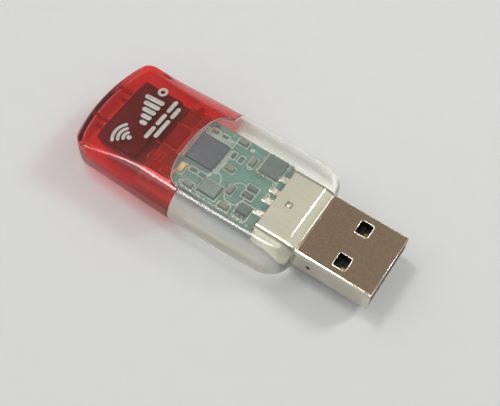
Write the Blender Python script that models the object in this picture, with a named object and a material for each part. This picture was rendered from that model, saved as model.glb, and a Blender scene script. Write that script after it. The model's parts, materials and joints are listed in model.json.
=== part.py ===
"""USB wireless adapter: a thick clear front housing, a translucent snap-on rear cover, a USB-A plug and
the circuit board inside. Metres, +Z up, +X towards the plug's tip, origin under the middle on the
surface that the adapter lies on."""

import math

import bmesh
import bpy
from mathutils import Matrix, Vector

mm = 0.001

# Housing, outside
body_length = 40.3 * mm
body_width = 21.6 * mm
body_height = 7.7 * mm
front_lip = 0.35 * mm  # the front face's height above and below the plug
front_side_lip = 1.1 * mm  # the front face's width on each side of the plug
front_corner_run = 4.0 * mm  # how far back each front corner's curve starts
widest_reach = 17.0 * mm  # the housing's widest place, back from its front face
side_bow = 0.93 * mm  # how much each side has come in by the rear end
front_slope_run = 2.4 * mm
rear_arc_radius = 27.5 * mm
rear_corner = 2.2 * mm
rear_edge = 1.0 * mm
rear_taper = 1.0 * mm  # how much the top and the underside each come in by the rear end
rear_taper_run = 16.0 * mm
crease_share = 0.73  # the flat top's share of the width, up to its crease
rear_crease_share = 0.96
rear_crease_run = 14.0 * mm  # the creases spread apart over this length
crease_start_deg = 30

# Housing, walls and fits
cover_wall = 0.8 * mm
fit_gap = 0.12 * mm  # between the rear cover and what it slides over
plug_gap = 0.13 * mm  # round the plug, where it passes through the front housing
board_gap = 0.15 * mm  # beside the board, and in front of it
tongue_length = 7.2 * mm  # how far the front housing reaches back inside the cover, from the horn tips
horn_reach = 19.65 * mm  # the cover's front edge at the sides, back from the housing's front face
bay_depth = 3.55 * mm  # how far the clear window runs back from the horn tips
bay_half_width = 7.55 * mm
bay_squareness = 2.5  # 2 is an ellipse, and more is squarer

# USB-A plug
plug_width = 12.0 * mm
plug_height = 4.5 * mm
plug_reach = 13.0 * mm  # the part that stands out of the housing
plug_tail = 6.9 * mm  # the part inside the housing
plug_sheet = 0.3 * mm
plug_corner = 0.55 * mm
window_length = 2.2 * mm
window_width = 2.5 * mm
window_from_tip = 5.16 * mm
window_offset = 3.25 * mm
window_corner = 0.3 * mm
lance_from_face = 4.6 * mm  # a small opening in the top of the shell, inside the housing
lance_size = 1.0 * mm
dimple_from_face = 2.7 * mm
dimple_radius = 0.35 * mm
contact_offsets = {"ground": -3.5 * mm, "data_plus": -1.0 * mm, "data_minus": 1.0 * mm, "power": 3.5 * mm}
contact_width = 1.0 * mm
contact_sheet = 0.2 * mm
contact_setback = 1.0 * mm  # from the plug's tip to the contacts' front ends
contact_bend_reach = 1.0 * mm  # the contacts rise this far in front of the shell's rear
contact_cover_from_tip = 6.3 * mm  # the contacts come out of the insulator here
insulator_setback = 0.7 * mm
insulator_step = 0.35 * mm
cavity_depth = 8.7 * mm
tongue_height = 1.95 * mm
slip = 0.08 * mm  # between the plug's own pieces

# Circuit board and what stands on it
board_rear_gap = 4.1 * mm  # from the board's rear edge to the housing's rear end
board_side_margin = 0.5 * mm  # how far the board reaches past the plug on each side
board_thickness = 1.0 * mm
board_rise = 1.25 * mm  # the board's top face above the middle of the plug
board_setback = 0.3 * mm  # from the rear of the plug's shell to the board
component_room = 1.26 * mm  # the slot's height over the board's top face
layout_width = 13.0 * mm  # the board width that the components' places are given for
solder = 0.05 * mm  # each component's height above the board
tail_length = 1.0 * mm  # each contact's foot on the board

# Derived sizes and places
front_face_half_width = plug_width / 2 + front_side_lip
board_width = plug_width + 2 * board_side_margin
rear_x = -(body_length + plug_reach) / 2
face_x = rear_x + body_length
tip_x = face_x + plug_reach
mid_z = body_height / 2
board_top = mid_z + board_rise
horn_x = face_x - horn_reach
tongue_x = horn_x - tongue_length
shell_rear_x = face_x - plug_tail
board_front_x = shell_rear_x - board_setback
board_rear_x = rear_x + board_rear_gap
plug_low = mid_z - plug_height / 2
plug_high = mid_z + plug_height / 2

COLOURS = {
    "clear_plastic": ((0.80, 0.80, 0.74, 1), 0.12, 0.0),
    "red_plastic": ((0.62, 0.03, 0.03, 1), 0.12, 0.0),
    "plated_steel": ((0.62, 0.58, 0.50, 1), 0.22, 1.0),
    "gold": ((0.83, 0.62, 0.26, 1), 0.25, 1.0),
    "black_plastic": ((0.02, 0.02, 0.02, 1), 0.45, 0.0),
    "board_green": ((0.07, 0.26, 0.16, 1), 0.4, 0.0),
    "chip_black": ((0.05, 0.05, 0.06, 1), 0.5, 0.0),
    "tin": ((0.70, 0.70, 0.70, 1), 0.3, 1.0),
    "ceramic_tan": ((0.46, 0.33, 0.20, 1), 0.5, 0.0),
    "led_amber": ((0.90, 0.55, 0.16, 1), 0.3, 0.0),
}


def material(name):
    found = bpy.data.materials.get(name)
    if found:
        return found
    made = bpy.data.materials.new(name)
    made.use_nodes = True
    shader = made.node_tree.nodes["Principled BSDF"]
    colour, roughness, metallic = COLOURS[name]
    shader.inputs["Base Color"].default_value = colour
    shader.inputs["Roughness"].default_value = roughness
    shader.inputs["Metallic"].default_value = metallic
    made.diffuse_color = colour
    return made


def add_object(name, mesh, paint=None, parent=None):
    obj = bpy.data.objects.new(name, mesh)
    bpy.context.scene.collection.objects.link(obj)
    if paint:
        mesh.materials.append(material(paint))
    obj.parent = parent
    return obj


def helper(name, mesh):
    """A cutter or a joiner: it shapes other pieces and isn't a piece itself."""
    obj = add_object(name, mesh)
    obj.hide_render = True
    obj.display_type = "WIRE"
    return obj


def boolean(obj, operation, other, solver="EXACT"):
    modifier = obj.modifiers.new(f"{operation.lower()} {other.name}", "BOOLEAN")
    modifier.operation = operation
    modifier.object = other
    modifier.solver = solver


def housing_boolean(obj, operation, other):
    """The housing's lofts meet along nearly parallel faces, where EXACT leaves holes and MANIFOLD doesn't."""
    boolean(obj, operation, other, "MANIFOLD")


def finish_mesh(bm, name):
    bmesh.ops.recalc_face_normals(bm, faces=bm.faces)
    mesh = bpy.data.meshes.new(name)
    bm.to_mesh(mesh)
    bm.free()
    mesh.set_sharp_from_angle(angle=math.radians(35))
    return mesh


def box_mesh(name, low, high, bevel=0.0, segments=1):
    """A box between two corners, with its edges rounded if bevel is more than 0."""
    bm = bmesh.new()
    bmesh.ops.create_cube(bm, size=1)
    centre = (Vector(low) + Vector(high)) / 2
    size = Vector(high) - Vector(low)
    for vertex in bm.verts:
        vertex.co = centre + Vector(a * b for a, b in zip(vertex.co, size))
    if bevel:
        bmesh.ops.bevel(bm, geom=bm.edges, offset=bevel, segments=segments, affect="EDGES", profile=0.5)
    return finish_mesh(bm, name)


def prism_mesh(name, outline, low, high, axis="Z"):
    """An outline in the plane across the axis, extruded along it. It is (y, z), (x, z) or (x, y)."""

    def place(a, b, along):
        return {"X": (along, a, b), "Y": (a, along, b), "Z": (a, b, along)}[axis]

    bm = bmesh.new()
    face = bm.faces.new([bm.verts.new(place(a, b, low)) for a, b in outline])
    grown = bmesh.ops.extrude_face_region(bm, geom=[face])["geom"]
    shift = Vector(place(0, 0, high - low))
    bmesh.ops.translate(bm, vec=shift, verts=[v for v in grown if isinstance(v, bmesh.types.BMVert)])
    return finish_mesh(bm, name)


def cylinder_mesh(name, radius, depth, centre, axis="Z", segments=16):
    bm = bmesh.new()
    bmesh.ops.create_cone(
        bm, cap_ends=True, segments=segments, radius1=radius, radius2=radius, depth=depth
    )
    if axis == "Y":
        bmesh.ops.rotate(bm, verts=bm.verts, matrix=Matrix.Rotation(math.pi / 2, 3, "X"))
    bmesh.ops.translate(bm, verts=bm.verts, vec=centre)
    return finish_mesh(bm, name)


def arc(centre, radius, start_deg, end_deg, steps):
    return [
        (
            centre[0] + radius * math.cos(math.radians(start_deg + (end_deg - start_deg) * i / steps)),
            centre[1] + radius * math.sin(math.radians(start_deg + (end_deg - start_deg) * i / steps)),
        )
        for i in range(steps + 1)
    ]


def smoothstep(t):
    t = max(0.0, min(1.0, t))
    return t * t * (3 - 2 * t)


def quarter_ellipse(distance, run):
    """How far an elliptical corner has opened at this distance from its end, from 0 to 1."""
    t = max(0.0, min(1.0, distance / run))
    return math.sqrt(1 - (1 - t) ** 2)


def housing_size(x, inset):
    """(half width, half height, crease half width) of the housing at x, shrunk by inset all round."""
    from_rear = x - (rear_x + inset)
    from_front = face_x - inset - x
    from_widest = (x - (face_x - widest_reach)) / (body_length - widest_reach)
    side = body_width / 2 - side_bow * from_widest**2 - inset
    side_at_face = front_face_half_width - inset
    width = side - rear_corner * (1 - quarter_ellipse(from_rear, rear_corner))
    width -= (side - side_at_face) * (1 - quarter_ellipse(from_front, front_corner_run))
    top = body_height / 2 - rear_taper * smoothstep(1 - from_rear / rear_taper_run) - inset
    top_at_face = plug_height / 2 + front_lip - inset
    height = top - rear_edge * (1 - quarter_ellipse(from_rear, rear_edge))
    height -= (top - top_at_face) * (1 - quarter_ellipse(from_front, front_slope_run))
    flare = 1 - smoothstep(from_rear / rear_crease_run)
    crease = width * (crease_share + (rear_crease_share - crease_share) * flare)
    return width, height, crease


def housing_section(x, inset, side_steps, top_steps):
    """The closed outline (y, z) at x, from the +Y end of the parting line over the top and round."""
    width, height, crease = housing_size(x, inset)
    start = math.radians(crease_start_deg)
    corner = []
    for i in range(side_steps + 1):
        angle = math.pi / 2 + (start - math.pi / 2) * i / side_steps
        share = (math.sin(angle) - math.sin(start)) / (1 - math.sin(start))
        corner.append((crease + (width - crease) * share, height * math.cos(angle) / math.cos(start)))
    top = [(crease * (1 - 2 * i / top_steps), height) for i in range(1, top_steps)]
    upper = corner + top + [(-y, z) for y, z in reversed(corner)]
    return upper + [(-y, -z) for y, z in upper[1:-1]]


def loft_stations(inset, from_x, to_x):
    """The places along X where a loft has a ring. Those in the middle are the same for every loft, so
    that a piece and the hollow it fits have parallel faces."""
    start = rear_x + inset if from_x is None else from_x
    end = face_x - inset if to_x is None else to_x
    stations = [start]
    if from_x is None:
        stations = [start + rear_corner * (1 - math.cos(math.pi / 2 * i / 5)) for i in range(6)]
    front = [end]
    if to_x is None:
        front = [end - front_corner_run * (1 - math.sin(math.pi / 2 * i / 8)) for i in range(9)]
    clear = 0.3 * mm
    for i in range(1, 16):
        x = rear_x + body_length * i / 16
        if stations[-1] + clear < x < front[0] - clear:
            stations.append(x)
    return stations + front


def housing_mesh(name, inset, from_x=None, to_x=None, side_steps=6, top_steps=4):
    """The housing's outer form as a closed loft, shrunk by inset, whole or between two places along X."""
    bm = bmesh.new()
    rings = []
    for x in loft_stations(inset, from_x, to_x):
        fade = 1 - smoothstep((x - rear_x) / (body_length / 4))
        ring = []
        for y, z in housing_section(x, inset, side_steps, top_steps):
            sweep = rear_arc_radius - math.sqrt(rear_arc_radius**2 - y**2)
            ring.append(bm.verts.new((x + sweep * fade, y, z + mid_z)))
        rings.append(ring)
    count = len(rings[0])
    for first, second in zip(rings, rings[1:]):
        for i in range(count):
            j = (i + 1) % count
            bm.faces.new((first[i], first[j], second[j], second[i]))
    for ring in (rings[0], rings[-1]):
        half = count // 2
        for i in range(half):
            strip = [ring[i], ring[i + 1], ring[-i - 1], ring[-i % count]]
            bm.faces.new(list(dict.fromkeys(strip)))
    return finish_mesh(bm, name)


def bay_outline(gap):
    """The cover's front edge in plan, moved forward by gap: straight at the sides, with a bay in the
    middle shaped as half a squared ellipse. The outline closes far in front of the housing."""
    steps = 24
    edge_x = horn_x + gap
    half = bay_half_width - gap
    power = 2 / bay_squareness
    bay = []
    for i in range(steps + 1):
        angle = math.pi * i / steps
        across, back = math.cos(angle), math.sin(angle)
        y = math.copysign(abs(across) ** power, across) * half
        bay.append((edge_x - bay_depth * max(back, 0.0) ** power, y))
    outer = body_width
    far_x = face_x + body_width
    return [(edge_x, outer)] + bay + [(edge_x, -outer), (far_x, -outer), (far_x, outer)]


def make_rear_cover(parent):
    cover = add_object("rear_cover", housing_mesh("rear_cover", 0.0), "red_plastic", parent)
    hollow = housing_mesh("cover_hollow", cover_wall, to_x=face_x)
    housing_boolean(cover, "DIFFERENCE", helper("cover_hollow", hollow))
    front = prism_mesh("cover_front_cut", bay_outline(0.0), -body_height, 2 * body_height)
    housing_boolean(cover, "DIFFERENCE", helper("cover_front_cut", front))
    rib_length, rib_thickness, rib_offset = 2.6 * mm, 0.8 * mm, 3.2 * mm
    inside = cover_wall / 2
    _, rib_top, _ = housing_size(rear_x + rib_length, inside)
    for side in (1, -1):
        y = side * rib_offset
        low = (rear_x + inside, y - rib_thickness / 2, mid_z - rib_top)
        high = (rear_x + rib_length, y + rib_thickness / 2, mid_z + rib_top)
        name = f"cover_rib_{side}"
        housing_boolean(cover, "UNION", helper(name, box_mesh(name, low, high)))
    return cover


def latch_boxes(grow):
    """The four snap latches: low blocks on the tongue and, grown, the pockets in the cover for them."""
    length, width, rise, offset, root_depth = 1.0 * mm, 1.7 * mm, 0.3 * mm, 6.0 * mm, 0.4 * mm
    latch_x = horn_x - 5.5 * mm
    _, half, _ = housing_size(latch_x, cover_wall + fit_gap)
    for way in (1, -1):
        level = mid_z + way * half
        for side in (1, -1):
            root, top = level - way * root_depth, level + way * (rise + grow)
            low = (latch_x - length / 2 - grow, side * offset - width / 2 - grow, min(root, top))
            high = (latch_x + length / 2 + grow, side * offset + width / 2 + grow, max(root, top))
            yield f"latch_{way}_{side}", low, high


def make_front_housing(parent):
    """The thick clear housing: its outside in front of the cover, the tongue that the cover slides over,
    the latches, a channel that the plug is pushed through from behind, and a slot for the board."""
    housing = add_object("front_housing", housing_mesh("front_housing", 0.0), "clear_plastic", parent)
    outside = prism_mesh("housing_front", bay_outline(fit_gap), -body_height, 2 * body_height)
    housing_boolean(housing, "INTERSECT", helper("housing_front", outside))
    tongue = housing_mesh("housing_tongue", cover_wall + fit_gap, tongue_x)
    housing_boolean(housing, "UNION", helper("housing_tongue", tongue))
    for name, low, high in latch_boxes(0.0):
        housing_boolean(housing, "UNION", helper(name, box_mesh(name, low, high)))
    behind = tongue_x - body_height
    top = plug_high + plug_gap
    half = plug_width / 2 + plug_gap
    channel = box_mesh("plug_channel", (behind, -half, plug_low - plug_gap), (tip_x, half, top))
    housing_boolean(housing, "DIFFERENCE", helper("plug_channel", channel))
    half = board_width / 2 + board_gap
    low = (behind, -half, board_top - board_thickness - solder)
    high = (board_front_x + board_gap, half, board_top + component_room)
    slot = box_mesh("board_slot", low, high)
    housing_boolean(housing, "DIFFERENCE", helper("board_slot", slot))


def rounded_rectangle(half_width, half_height, radius, steps=4):
    """(y, z) points round the middle of the plug."""
    points = []
    for sign_y, sign_z, start in ((1, 1, 0), (-1, 1, 90), (-1, -1, 180), (1, -1, 270)):
        centre = (sign_y * (half_width - radius), sign_z * (half_height - radius))
        points += arc(centre, radius, start, start + 90, steps)
    return points


def tube_mesh(name, sections):
    """A tube through (x, inset, radius) sections of the plug's outline, outside first and then inside."""
    bm = bmesh.new()
    rings = []
    for x, inset, radius in sections:
        outline = rounded_rectangle(plug_width / 2 - inset, plug_height / 2 - inset, radius)
        rings.append([bm.verts.new((x, y, z + mid_z)) for y, z in outline])
    for first, second in zip(rings, rings[1:] + rings[:1]):
        for i in range(len(first)):
            j = (i + 1) % len(first)
            bm.faces.new((first[i], first[j], second[j], second[i]))
    return finish_mesh(bm, name)


def make_plug_shell(parent):
    """The folded sheet-metal shell with its four spring windows, a lance, dimples and two solder feet."""
    edge = plug_sheet / 3
    inner_corner = plug_corner - plug_sheet
    sections = [
        (shell_rear_x, 0, plug_corner),
        (tip_x - edge, 0, plug_corner),
        (tip_x, edge, plug_corner - edge),
        (tip_x, plug_sheet - edge / 2, inner_corner),
        (tip_x - edge, plug_sheet, inner_corner),
        (shell_rear_x, plug_sheet, inner_corner),
    ]
    shell = add_object("plug_shell", tube_mesh("plug_shell", sections), "plated_steel", parent)
    far_x = tip_x - window_from_tip
    for side in (1, -1):
        y = side * window_offset
        low = (far_x - window_length, y - window_width / 2, -body_height)
        window = box_mesh(f"window_{side}", low, (far_x, y + window_width / 2, 2 * body_height))
        bm = bmesh.new()
        bm.from_mesh(window)
        upright = [e for e in bm.edges if abs(e.verts[0].co.z - e.verts[1].co.z) > body_height]
        bmesh.ops.bevel(bm, geom=upright, offset=window_corner, segments=3, affect="EDGES", profile=0.5)
        bm.to_mesh(window)
        bm.free()
        boolean(shell, "DIFFERENCE", helper(f"window_{side}", window))
    lance_x, half = face_x - lance_from_face, lance_size / 2
    low, high = (lance_x - half, -half, mid_z), (lance_x + half, half, body_height)
    boolean(shell, "DIFFERENCE", helper("lance", box_mesh("lance", low, high)))
    foot_low = board_top + solder
    foot_high = plug_high - plug_corner
    for side in (1, -1):
        outer = side * (plug_width / 2 - plug_sheet / 6)
        inner = outer - side * plug_sheet * 2 / 3
        low = (shell_rear_x - tail_length, min(outer, inner), foot_low)
        high = (shell_rear_x + tail_length, max(outer, inner), foot_high)
        boolean(shell, "UNION", helper(f"foot_{side}", box_mesh(f"foot_{side}", low, high)))
        add_dimple(shell, side)


def add_dimple(shell, side):
    """A round punched mark in each side wall, just in front of the housing."""
    centre = (face_x + dimple_from_face, side * plug_width / 2, mid_z)
    name = f"dimple_{side}"
    cutter = cylinder_mesh(name, dimple_radius, 4 * plug_sheet, centre, "Y", 10)
    boolean(shell, "DIFFERENCE", helper(name, cutter))


def contact_outline(grow):
    """A contact's side view (x, z), made thicker by grow on each side: flat along the tongue, up
    inside the insulator, and flat again as a foot on the board."""
    blade = plug_low + plug_sheet + slip + tongue_height - contact_sheet
    foot = board_top + solder
    front, bend = tip_x - contact_setback, shell_rear_x + contact_bend_reach
    rear = board_front_x - tail_length
    thick = contact_sheet
    return [
        (front + grow, blade - grow),
        (front + grow, blade + thick + grow),
        (bend + thick + grow, blade + thick + grow),
        (bend + thick + grow, foot + thick + grow),
        (rear - grow, foot + thick + grow),
        (rear - grow, foot - grow),
        (bend - grow, foot - grow),
        (bend - grow, blade - grow),
    ]


def make_insulator(parent):
    """The black block that fills the rear of the plug's shell, with the tongue that carries the contacts."""
    gap = plug_sheet + slip
    tongue_top = plug_low + plug_sheet + slip + tongue_height
    block_x, cover_x = tip_x - cavity_depth, tip_x - contact_cover_from_tip
    front_x, step = tip_x - insulator_setback, insulator_step
    outline = [
        (shell_rear_x + slip, plug_low),
        (front_x, plug_low),
        (front_x, tongue_top - step),
        (front_x - step, tongue_top),
        (cover_x, tongue_top),
        (cover_x, tongue_top + step),
        (block_x, tongue_top + step),
        (block_x, plug_high),
        (shell_rear_x + slip, plug_high),
    ]
    mesh = prism_mesh("plug_insulator", outline, -plug_width / 2, plug_width / 2, "Y")
    insulator = add_object("plug_insulator", mesh, "black_plastic", parent)
    inside = rounded_rectangle(plug_width / 2 - gap, plug_height / 2 - gap, plug_corner - plug_sheet)
    bore = [(y, z + mid_z) for y, z in inside]
    bar = prism_mesh("shell_inside", bore, shell_rear_x - plug_width, tip_x + plug_width, "X")
    boolean(insulator, "INTERSECT", helper("shell_inside", bar))
    for name, y in contact_offsets.items():
        reach = contact_width / 2 + slip
        slot = prism_mesh(f"slot_{name}", contact_outline(slip), y - reach, y + reach, "Y")
        boolean(insulator, "DIFFERENCE", helper(f"slot_{name}", slot))


def make_contacts(parent):
    for name, y in contact_offsets.items():
        low, high = y - contact_width / 2, y + contact_width / 2
        mesh = prism_mesh(f"contact_{name}", contact_outline(0.0), low, high, "Y")
        add_object(f"contact_{name}", mesh, "gold", parent)


def board_place(from_front, y):
    """The (x, y) of a place on the board, which keeps its distance from the board's front edge and moves
    out or in with the board's width."""
    return board_front_x - from_front, y * board_width / layout_width


def make_board(parent):
    """The circuit board, with small cut corners and two tooling holes."""
    cut, radius = 0.5 * mm, 0.45 * mm
    half = board_width / 2
    outline = [
        (board_rear_x + cut, -half),
        (board_front_x - cut, -half),
        (board_front_x, cut - half),
        (board_front_x, half - cut),
        (board_front_x - cut, half),
        (board_rear_x + cut, half),
        (board_rear_x, half - cut),
        (board_rear_x, cut - half),
    ]
    mesh = prism_mesh("main_board", outline, board_top - board_thickness, board_top)
    board = add_object("main_board", mesh, "board_green", parent)
    for name, from_front, y in (("hole_front", 7.6 * mm, 5.4 * mm), ("hole_rear", 14.5 * mm, 5.6 * mm)):
        centre = (*board_place(from_front, y), board_top)
        hole = cylinder_mesh(name, radius, 4 * board_thickness, centre)
        boolean(board, "DIFFERENCE", helper(name, hole))


def on_board(name, from_front, y, length, width, height, paint, parent, bevel=0.04 * mm, under=False):
    """A component at its distance back from the board's front edge, on top of the board or under it."""
    x, y = board_place(from_front, y)
    base = board_top - board_thickness - solder - height if under else board_top + solder
    low = (x - length / 2, y - width / 2, base)
    high = (x + length / 2, y + width / 2, base + height)
    return add_object(name, box_mesh(name, low, high, bevel), paint, parent)


def make_chips(parent):
    on_board("radio_chip", 13.1 * mm, 0.95 * mm, 5.0 * mm, 5.2 * mm, 0.8 * mm, "chip_black", parent)
    on_board("memory_chip", 3.0 * mm, 4.4 * mm, 3.4 * mm, 3.6 * mm, 0.8 * mm, "chip_black", parent)
    on_board("rf_transceiver", 19.2 * mm, 0.6 * mm, 3.6 * mm, 4.0 * mm, 0.75 * mm, "chip_black", parent)
    on_board("power_amplifier", 19.0 * mm, 4.6 * mm, 2.6 * mm, 2.6 * mm, 0.7 * mm, "chip_black", parent)
    on_board("crystal", 9.0 * mm, -4.3 * mm, 3.2 * mm, 2.5 * mm, 0.7 * mm, "tin", parent, 0.15 * mm)
    on_board("status_led", 14.7 * mm, -3.7 * mm, 0.8 * mm, 1.6 * mm, 0.6 * mm, "led_amber", parent)
    on_board("rf_filter", 19.4 * mm, -3.9 * mm, 2.0 * mm, 1.25 * mm, 0.7 * mm, "ceramic_tan", parent)
    on_board("eeprom_chip", 12.0 * mm, 0.0, 3.0 * mm, 3.0 * mm, 0.9 * mm, "chip_black", parent, under=True)
    on_board("surge_protector", 3.6 * mm, 0.0, 1.6 * mm, 2.9 * mm, 0.9 * mm, "chip_black", parent, under=True)
    make_regulator(parent)


def make_regulator(parent):
    """A small five-legged package: the body, with its legs joined to it."""
    from_front, y, length, width, height = 2.7 * mm, -4.6 * mm, 2.0 * mm, 1.3 * mm, 0.95 * mm
    body = on_board("voltage_regulator", from_front, y, length, width, height, "chip_black", parent)
    x, y = board_place(from_front, y)
    leg, pitch, reach, thick = 0.35 * mm, 0.7 * mm, 0.55 * mm, 0.15 * mm
    base = board_top + solder
    for side, places in ((-1, (-1, 0, 1)), (1, (-1, 1))):
        for i, place in enumerate(places):
            inner, outer = y + side * (width / 2 - reach / 2), y + side * (width / 2 + reach)
            low = (x + place * pitch - leg / 2, min(inner, outer), base - solder / 2)
            high = (x + place * pitch + leg / 2, max(inner, outer), base + thick)
            name = f"regulator_leg_{side}_{i}"
            boolean(body, "UNION", helper(name, box_mesh(name, low, high)))


def make_passives(parent):
    """The chip capacitors, resistors and ferrite beads, each its own piece."""
    sizes = {"capacitor": (1.6, 0.8, 0.8), "resistor": (1.0, 0.5, 0.35), "ferrite_bead": (1.6, 0.8, 0.7)}
    paints = {"capacitor": "ceramic_tan", "resistor": "chip_black", "ferrite_bead": "chip_black"}
    top = {
        "capacitor": [
            (5.6, -5.6, 0), (6.3, -2.6, 90), (8.6, 0.4, 0), (16.3, -5.4, 0),
            (9.4, 5.6, 0), (16.6, 5.7, 90), (6.2, 3.4, 90), (12.2, -5.5, 0),
        ],
        "resistor": [
            (8.0, 2.8, 90), (9.4, 2.8, 90), (11.3, -2.9, 0),
            (13.0, -2.9, 0), (12.4, 4.9, 0), (14.2, 4.9, 0),
        ],
        "ferrite_bead": [(3.6, -2.0, 0), (3.6, -0.6, 0)],
    }
    below = {
        "capacitor": [(7.0, -3.0, 90), (7.0, 3.0, 90), (16.0, 0.0, 90)],
        "resistor": [(18.0, 2.0, 0), (18.0, -2.0, 0)],
    }
    for places, under, first in ((top, False, 1), (below, True, 11)):
        for kind, spots in places.items():
            length, width, height = (size * mm for size in sizes[kind])
            for number, (from_front, y, turn) in enumerate(spots, first):
                along, across = (width, length) if turn else (length, width)
                name = f"{kind}_{number}"
                spot = from_front * mm, y * mm, along, across, height
                on_board(name, *spot, paints[kind], parent, under=under)


def make_antenna(parent):
    """The black carrier block at the board's rear end, and the stamped sheet antenna behind it: a plate
    on edge, cut away along its foot except for a feed leg and a ground leg."""
    gap, clear = 0.1 * mm, 0.15 * mm
    base = board_top + solder
    rear = board_rear_x - gap
    front, half = board_place(21.75 * mm, layout_width / 2)
    _, room, _ = housing_size(rear, cover_wall)
    top = mid_z + room - clear
    rim = min(clear, (top - base) / 4)
    carrier = box_mesh("antenna_carrier", (rear, -half, base), (front, half, top), rim)
    add_object("antenna_carrier", carrier, "black_plastic", parent)
    sheet, foot, leg = 0.2 * mm, 1.3 * mm, 0.9 * mm
    plate_x = rear - gap
    under = board_top - board_thickness - solder
    outline = [
        (plate_x, top),
        (plate_x - sheet, top),
        (plate_x - sheet, under - sheet),
        (plate_x + foot, under - sheet),
        (plate_x + foot, under),
        (plate_x, under),
    ]
    half = 0.4 * board_width
    mesh = prism_mesh("antenna_element", outline, -half, half, "Y")
    element = add_object("antenna_element", mesh, "tin", parent)
    for name, low_y, high_y in (
        ("antenna_gap_wide", 3 * leg - half, half + leg),
        ("antenna_gap_narrow", leg - half, 2 * leg - half),
    ):
        low = (plate_x - foot, low_y, under - foot)
        high = (plate_x + 2 * foot, high_y, top - (top - under) / 3)
        boolean(element, "DIFFERENCE", helper(name, box_mesh(name, low, high)))


def main():
    for obj in list(bpy.data.objects):
        bpy.data.objects.remove(obj)
    frame = add_object("adapter", None)
    cover = make_rear_cover(frame)
    for name, low, high in latch_boxes(fit_gap):
        pocket = f"pocket_{name}"
        housing_boolean(cover, "DIFFERENCE", helper(pocket, box_mesh(pocket, low, high)))
    make_front_housing(frame)
    make_plug_shell(frame)
    make_insulator(frame)
    make_contacts(frame)
    make_board(frame)
    make_chips(frame)
    make_passives(frame)
    make_antenna(frame)


main()
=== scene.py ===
# A USB wireless adapter: clear housing, red rear cover, plug and circuit board, dressed around the
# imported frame. Metres, +Z up, +X towards the plug's tip.
import json
import math

import bpy
import numpy as np
from mathutils import Matrix, Vector


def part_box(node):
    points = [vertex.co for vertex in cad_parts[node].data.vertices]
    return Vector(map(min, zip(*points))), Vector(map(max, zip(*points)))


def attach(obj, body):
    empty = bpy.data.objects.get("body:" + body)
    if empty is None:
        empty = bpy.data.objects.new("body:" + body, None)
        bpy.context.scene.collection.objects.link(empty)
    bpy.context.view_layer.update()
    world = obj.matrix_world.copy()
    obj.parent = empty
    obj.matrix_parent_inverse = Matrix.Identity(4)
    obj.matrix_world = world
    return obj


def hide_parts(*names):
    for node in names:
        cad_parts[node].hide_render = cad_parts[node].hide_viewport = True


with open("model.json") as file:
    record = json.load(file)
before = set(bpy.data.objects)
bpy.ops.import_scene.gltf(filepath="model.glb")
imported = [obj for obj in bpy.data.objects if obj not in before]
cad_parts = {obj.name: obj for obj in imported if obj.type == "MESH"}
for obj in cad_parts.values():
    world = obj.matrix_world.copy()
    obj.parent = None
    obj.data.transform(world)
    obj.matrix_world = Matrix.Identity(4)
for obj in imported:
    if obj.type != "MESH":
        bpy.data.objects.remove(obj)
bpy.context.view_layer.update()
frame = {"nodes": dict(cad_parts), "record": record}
mm = 0.001
print("frame loaded:", len(frame["nodes"]), "nodes")

coverLow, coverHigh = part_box("rear_cover")
housingLow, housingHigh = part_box("front_housing")
shellLow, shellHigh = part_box("plug_shell")
boardLow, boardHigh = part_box("main_board")
middleZ = (housingLow.z + housingHigh.z) / 2
plugCorner = 0.55 * mm  # the rounding along the shell's edges

# the housing and the cover share one form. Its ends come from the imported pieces. An inset shrinks the
# whole form evenly, for inner walls and rounded edges.
form = dict(
    rearX=coverLow.x,
    hornX=coverHigh.x,  # the cover's front edge at the sides
    faceX=housingHigh.x,  # the front face that the plug comes out of
    tongueX=housingLow.x,  # the rear end of the tongue inside the cover
    halfWidth=(housingHigh.y - housingLow.y) / 2,
    halfHeight=(housingHigh.z - housingLow.z) / 2,
    frontHalfWidth=7.1 * mm,
    frontHalfHeight=2.6 * mm,
    frontCornerRun=4.0 * mm,  # how far back each front corner's curve starts
    frontSlopeRun=2.4 * mm,
    widestReach=17.0 * mm,  # the widest place, back from the front face
    sideBow=0.93 * mm,  # how much each side has come in by the rear end
    rearArcRadius=27.5 * mm,
    rearCorner=2.2 * mm,
    rearEdge=1.0 * mm,
    rearTaper=1.0 * mm,  # how much the top has come down by the rear end
    rearTaperRun=16.0 * mm,
    creaseShare=0.73,  # the flat top's share of the width, up to its crease
    rearCreaseShare=0.96,
    rearCreaseRun=14.0 * mm,
    creaseStart=math.radians(30),
    creaseSoftness=0.24 * mm,
    wall=0.8 * mm,
    fit=0.12 * mm,  # between the cover and the tongue that it slides over
    bayDepth=3.55 * mm,  # how far the clear window runs back from the cover's front edge
    bayHalfWidth=7.55 * mm,
    baySquareness=2.5,  # 2 is an ellipse, and more is squarer
)
bodyLength = form["faceX"] - form["rearX"]


def smoothStep(t):
    # 3t² - 2t³, held at 0 and 1 outside its span
    t = np.clip(t, 0, 1)
    return t * t * (3 - 2 * t)


def quarterEllipse(distance, run):
    # how far an elliptical corner has opened at this distance from its end, 0 to 1
    t = np.clip(distance / run, 0, 1)
    return np.sqrt(1 - (1 - t) ** 2)


def softLower(a, b, softness):
    # the lower of two heights, with the corner between them rounded over
    return (a + b - np.sqrt((a - b) ** 2 + softness**2)) / 2


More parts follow.
